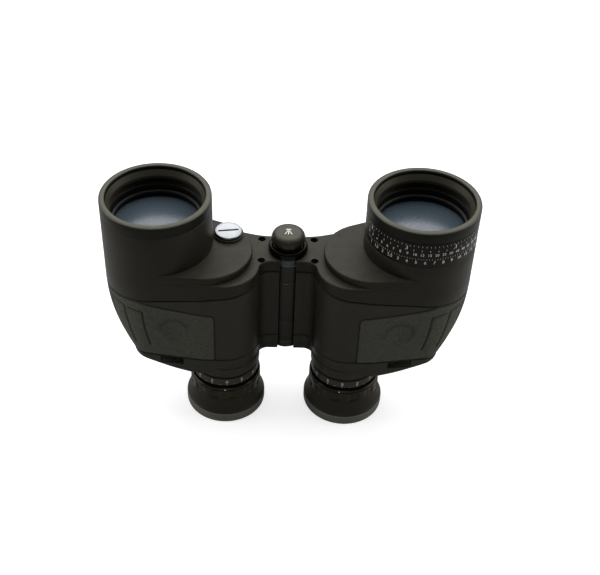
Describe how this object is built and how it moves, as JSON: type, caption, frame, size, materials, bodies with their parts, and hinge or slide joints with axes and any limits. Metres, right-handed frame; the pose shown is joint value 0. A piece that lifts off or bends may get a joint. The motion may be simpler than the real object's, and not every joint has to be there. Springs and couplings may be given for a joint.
{
  "type": "marine binoculars",
  "caption": "Rubber-armoured Porro prism marine binoculars with individually focused eyepieces, a turning range scale on one objective barrel and a tripod socket in the hinge.",
  "frame": {"origin": "bottom centre of the bounding box, on the plane the eyecups stand on", "axes": "+Z along the barrels towards the objectives, +X across the two barrels, +Y through the thickness towards the face that is up in use"},
  "size_m": [0.2122, 0.0697, 0.1438],
  "materials": {
    "casting": "satin",
    "cover": "satin rubber coat",
    "armour": "satin",
    "grip_pad": "fine grain, matt",
    "rear_cover": "satin",
    "rim": "satin",
    "cell": "black anodised",
    "lens": "coated",
    "prism": "polished",
    "shelf": "plain",
    "eye_tube": "black anodised",
    "dioptre": "matt with white scale",
    "focus_ring": "gloss",
    "eyecup": "matt",
    "screw": "blackened",
    "dial": "satin with white scale",
    "cap_metal": "satin chrome",
    "seal": "matt",
    "battery": "plain",
    "contact": "plain",
    "bezel": "gloss",
    "window": "frosted",
    "capsule": "plain",
    "button": "matt",
    "axle": "plain",
    "washer": "plain",
    "nut": "satin",
    "socket": "black, gloss",
    "tripod_cap": "satin"
  },
  "bodies": {
    "left_barrel": {"left_housing": "casting", "left_front_cover": "cover", "left_barrel_tube": "cover", "left_armour": "armour", "left_grip_pad": "grip_pad", "left_rear_cover": "rear_cover", "left_objective_rim": "rim", "left_objective_cell": "cell", "left_lens_ring": "cell", "left_objective_lens": "lens", "left_prism_lower": "prism", "left_prism_upper": "prism", "left_prism_shelf": "shelf", "left_eyepiece_tube": "eye_tube", "left_dioptre_ring": "dioptre", "left_hinge_screws": "screw", "battery_cell": "battery", "battery_contact": "contact", "compass_bezel": "bezel", "compass_window": "window", "compass_capsule": "capsule", "hinge_axle": "axle", "hinge_washers": "washer", "hinge_nut": "nut", "tripod_socket": "socket"},
    "right_barrel": {"right_housing": "casting", "right_front_cover": "cover", "right_barrel_tube": "cover", "right_armour": "armour", "right_grip_pad": "grip_pad", "right_rear_cover": "rear_cover", "right_objective_rim": "rim", "right_objective_cell": "cell", "right_lens_ring": "cell", "right_objective_lens": "lens", "right_prism_lower": "prism", "right_prism_upper": "prism", "right_prism_shelf": "shelf", "right_eyepiece_tube": "eye_tube", "right_dioptre_ring": "dioptre", "right_hinge_screws": "screw"},
    "left_ocular": {"left_ocular_carrier": "eye_tube", "left_field_lens": "lens", "left_eye_lens": "lens"},
    "left_focus": {"left_focus_ring": "focus_ring", "left_eyecup": "eyecup"},
    "right_ocular": {"right_ocular_carrier": "eye_tube", "right_field_lens": "lens", "right_eye_lens": "lens"},
    "right_focus": {"right_focus_ring": "focus_ring", "right_eyecup": "eyecup"},
    "dial": {"dial_ring": "dial"},
    "battery_thread": {"battery_seal": "seal"},
    "battery_lid": {"battery_cap": "cap_metal"},
    "tripod_thread": {"tripod_seal": "seal"},
    "tripod_lid": {"tripod_cap": "tripod_cap"},
    "button": {"light_button": "button"}
  },
  "joints": [
    {"name": "interpupillary_hinge", "type": "hinge", "parent": "left_barrel", "child": "right_barrel", "pos_m": [0, 0.0039, 0.07], "axis": [0, 0, 1], "range_deg": [-38, 6]},
    {"name": "left_ocular_slide", "type": "slide", "parent": "left_barrel", "child": "left_ocular", "axis": [0, 0, 1], "range_m": [-0.0017, 0.0017]},
    {"name": "left_focus_turn", "type": "hinge", "parent": "left_ocular", "child": "left_focus", "pos_m": [-0.0364, -0.0105, 0.01], "axis": [0, 0, 1], "range_deg": [-150, 150]},
    {"name": "right_ocular_slide", "type": "slide", "parent": "right_barrel", "child": "right_ocular", "axis": [0, 0, 1], "range_m": [-0.0017, 0.0017]},
    {"name": "right_focus_turn", "type": "hinge", "parent": "right_ocular", "child": "right_focus", "pos_m": [0.0364, -0.0105, 0.01], "axis": [0, 0, 1], "range_deg": [-150, 150]},
    {"name": "dial_turn", "type": "hinge", "parent": "right_barrel", "child": "dial", "pos_m": [0.0746, 0.0031, 0.128], "axis": [0, 0, 1], "continuous": true},
    {"name": "battery_cap_lift", "type": "slide", "parent": "left_barrel", "child": "battery_thread", "axis": [0, 0, 1], "range_m": [0, 0.012]},
    {"name": "battery_cap_turn", "type": "hinge", "parent": "battery_thread", "child": "battery_lid", "pos_m": [-0.0346, 0.0103, 0.112], "axis": [0, 0, 1], "continuous": true},
    {"name": "tripod_cap_lift", "type": "slide", "parent": "left_barrel", "child": "tripod_thread", "axis": [0, 0, 1], "range_m": [0, 0.05]},
    {"name": "tripod_cap_turn", "type": "hinge", "parent": "tripod_thread", "child": "tripod_lid", "pos_m": [0, 0.0039, 0.115], "axis": [0, 0, 1], "continuous": true},
    {"name": "light_button_press", "type": "slide", "parent": "left_barrel", "child": "button", "axis": [0, -1, 0], "range_m": [0, 0.0015], "stiffness_N_per_m": 800, "springref_m": -0.0005}
  ],
  "couplings": [
    {"joint": "left_ocular_slide", "follows": "left_focus_turn", "m_per_rad": 0.00064935},
    {"joint": "right_ocular_slide", "follows": "right_focus_turn", "m_per_rad": 0.00064935}
  ]
}
